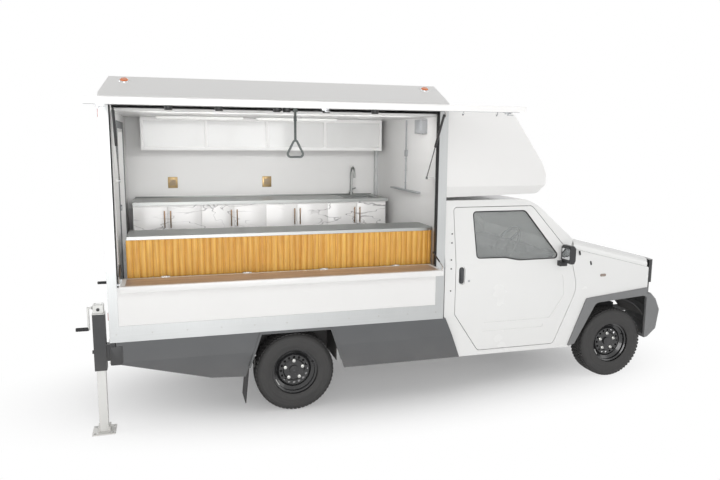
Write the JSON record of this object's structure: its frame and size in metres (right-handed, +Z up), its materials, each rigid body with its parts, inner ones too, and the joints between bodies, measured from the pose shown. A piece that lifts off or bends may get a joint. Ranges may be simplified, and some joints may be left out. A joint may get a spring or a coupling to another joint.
{
  "type": "food truck",
  "caption": "Food truck on a single-cab pickup chassis: kitchen box with a lift-up serving hatch, fold-up shelf, counters, sink and rear jacks.",
  "frame": {"origin": "middle of the footprint's bounding box, on the ground", "axes": "+X forward, +Y to the truck's left, +Z up; the serving side faces -Y"},
  "size_m": [5.352, 3.2144, 2.7153],
  "materials": {
    "chassis_black": "satin black chassis paint",
    "engine_grey": "cast",
    "exhaust_steel": "dull",
    "tank_black": "matt",
    "liner_black": "matt",
    "body_white": "gloss",
    "trim_grey": "grained",
    "grille_black": "satin",
    "window_glass": "clear",
    "dash_grey": "grained",
    "seat_cloth": "woven",
    "floor_grey": "chequered",
    "frame_aluminium": "brushed",
    "panel_white": "smooth laminate",
    "steel_top": "brushed",
    "slat_wood": "oiled",
    "marble_laminate": "marbled laminate",
    "skirt_grey": "satin",
    "jack_black": "satin",
    "jack_white": "satin",
    "tyre_rubber": "worn",
    "rim_black": "satin",
    "strap_grey": "webbing and moulded grip",
    "strut_black": "gloss"
  },
  "bodies": {
    "chassis": {"ladder_frame": "chassis_black", "engine_block": "engine_grey", "exhaust": "exhaust_steel", "fuel_tank": "tank_black", "rear_axle": "chassis_black", "front_suspension": "chassis_black", "wheel_liners": "liner_black", "cab_body": "body_white", "front_wings": "body_white", "front_trim": "trim_grey", "grille_panel": "grille_black", "windscreen": "window_glass", "dashboard": "dash_grey", "cab_seats": "seat_cloth", "box_floor": "floor_grey", "box_frame": "frame_aluminium", "box_walls": "panel_white", "rear_wall": "panel_white", "box_roof": "frame_aluminium", "cab_pod": "body_white", "front_counter": "steel_top", "slat_panel": "slat_wood", "back_cabinets": "marble_laminate", "back_worktop": "steel_top", "wall_cabinets": "panel_white", "cabinet_glass": "window_glass", "side_skirts": "skirt_grey", "rear_bumper": "skirt_grey", "jack_tubes": "jack_black"},
    "right_knuckle": {"right_knuckle": "chassis_black"},
    "left_knuckle": {"left_knuckle": "chassis_black"},
    "right_front_wheel": {"right_front_tyre": "tyre_rubber", "right_front_rim": "rim_black"},
    "left_front_wheel": {"left_front_tyre": "tyre_rubber", "left_front_rim": "rim_black"},
    "right_rear_wheel": {"right_rear_tyre": "tyre_rubber", "right_rear_rim": "rim_black"},
    "left_rear_wheel": {"left_rear_tyre": "tyre_rubber", "left_rear_rim": "rim_black"},
    "steering_wheel": {"steering_wheel": "dash_grey"},
    "right_cab_door": {"right_door": "body_white", "right_door_glass": "window_glass", "right_mirror": "grille_black"},
    "left_cab_door": {"left_door": "body_white", "left_door_glass": "window_glass", "left_mirror": "grille_black"},
    "hood": {"hood": "body_white"},
    "serving_hatch": {"serving_hatch": "panel_white", "grab_handle": "strap_grey"},
    "hatch_strut_rods": {"hatch_strut_rods": "strut_black"},
    "hatch_strut_tubes": {"hatch_strut_tubes": "strut_black"},
    "serving_shelf": {"serving_shelf": "panel_white"},
    "shelf_stay_tubes": {"shelf_stay_tubes": "strut_black"},
    "shelf_stay_rods": {"shelf_stay_rods": "strut_black"},
    "rear_door": {"rear_door": "panel_white"},
    "right_jack_leg": {"right_jack_leg": "jack_white"},
    "left_jack_leg": {"left_jack_leg": "jack_white"}
  },
  "joints": [
    {"name": "right_steer", "type": "hinge", "parent": "chassis", "child": "right_knuckle", "pos_m": [2.079, -0.13776, 0.333], "axis": [0, 0, 1], "range_deg": [-32, 32]},
    {"name": "left_steer", "type": "hinge", "parent": "chassis", "child": "left_knuckle", "pos_m": [2.079, 1.24224, 0.333], "axis": [0, 0, 1], "range_deg": [-32, 32]},
    {"name": "steering_wheel_turn", "type": "hinge", "parent": "chassis", "child": "steering_wheel", "pos_m": [1.344, 0.19224, 1.17], "axis": [-0.848, 0, 0.5299], "range_deg": [-512, 512]},
    {"name": "right_front_spin", "type": "hinge", "parent": "right_knuckle", "child": "right_front_wheel", "pos_m": [2.079, -0.20026, 0.333], "axis": [0, 1, 0], "continuous": true},
    {"name": "left_front_spin", "type": "hinge", "parent": "left_knuckle", "child": "left_front_wheel", "pos_m": [2.079, 1.30474, 0.333], "axis": [0, 1, 0], "continuous": true},
    {"name": "right_rear_spin", "type": "hinge", "parent": "chassis", "child": "right_rear_wheel", "pos_m": [-1.006, -0.20026, 0.333], "axis": [0, 1, 0], "continuous": true},
    {"name": "left_rear_spin", "type": "hinge", "parent": "chassis", "child": "left_rear_wheel", "pos_m": [-1.006, 1.30474, 0.333], "axis": [0, 1, 0], "continuous": true},
    {"name": "right_door_swing", "type": "hinge", "parent": "chassis", "child": "right_cab_door", "pos_m": [1.646, -0.32076, 0.9], "axis": [0, 0, 1], "range_deg": [0, 65]},
    {"name": "left_door_swing", "type": "hinge", "parent": "chassis", "child": "left_cab_door", "pos_m": [1.646, 1.42524, 0.9], "axis": [0, 0, -1], "range_deg": [0, 65]},
    {"name": "hood_lift", "type": "hinge", "parent": "chassis", "child": "hood", "pos_m": [1.606, 0.55224, 1.355], "axis": [0, -1, 0], "range_deg": [0, 50]},
    {"name": "hatch_lift", "type": "hinge", "parent": "chassis", "child": "serving_hatch", "pos_m": [-1.006, -0.39276, 2.515], "axis": [1, 0, 0], "range_deg": [0, 87.2]},
    {"name": "strut_pivot", "type": "hinge", "parent": "chassis", "child": "hatch_strut_rods", "pos_m": [-1.006, -0.16776, 1.93], "axis": [1, 0, 0], "range_deg": [-14.14, 0.5]},
    {"name": "strut_slide", "type": "slide", "parent": "hatch_strut_rods", "child": "hatch_strut_tubes", "axis": [0, -0.5472, 0.837], "range_m": [-0.1278, 0.002]},
    {"name": "shelf_fold", "type": "hinge", "parent": "chassis", "child": "serving_shelf", "pos_m": [-1.006, -0.28776, 1.195], "axis": [1, 0, 0], "range_deg": [-90, 0]},
    {"name": "stay_pivot", "type": "hinge", "parent": "chassis", "child": "shelf_stay_tubes", "pos_m": [-1.006, -0.33276, 1.3], "axis": [1, 0, 0], "range_deg": [-132.01, 0.5]},
    {"name": "stay_slide", "type": "slide", "parent": "shelf_stay_tubes", "child": "shelf_stay_rods", "axis": [0, -0.9242, -0.382], "range_m": [-0.07089, 0.002]},
    {"name": "rear_door_swing", "type": "hinge", "parent": "chassis", "child": "rear_door", "pos_m": [-2.436, 0.90024, 1.5], "axis": [0, 0, -1], "range_deg": [0, 95]},
    {"name": "right_jack_lift", "type": "slide", "parent": "chassis", "child": "right_jack_leg", "axis": [0, 0, 1], "range_m": [0, 0.32]},
    {"name": "left_jack_lift", "type": "slide", "parent": "chassis", "child": "left_jack_leg", "axis": [0, 0, 1], "range_m": [0, 0.32]}
  ],
  "couplings": [
    {"joint": "left_steer", "follows": "right_steer", "ratio": 1},
    {"joint": "steering_wheel_turn", "follows": "right_steer", "ratio": 16},
    {"joint": "strut_pivot", "follows": "hatch_lift", "ratio": -0.15644},
    {"joint": "strut_slide", "follows": "hatch_lift", "m_per_rad": -0.082659},
    {"joint": "stay_pivot", "follows": "shelf_fold", "ratio": 1.4613},
    {"joint": "stay_slide", "follows": "shelf_fold", "m_per_rad": 0.04386}
  ]
}
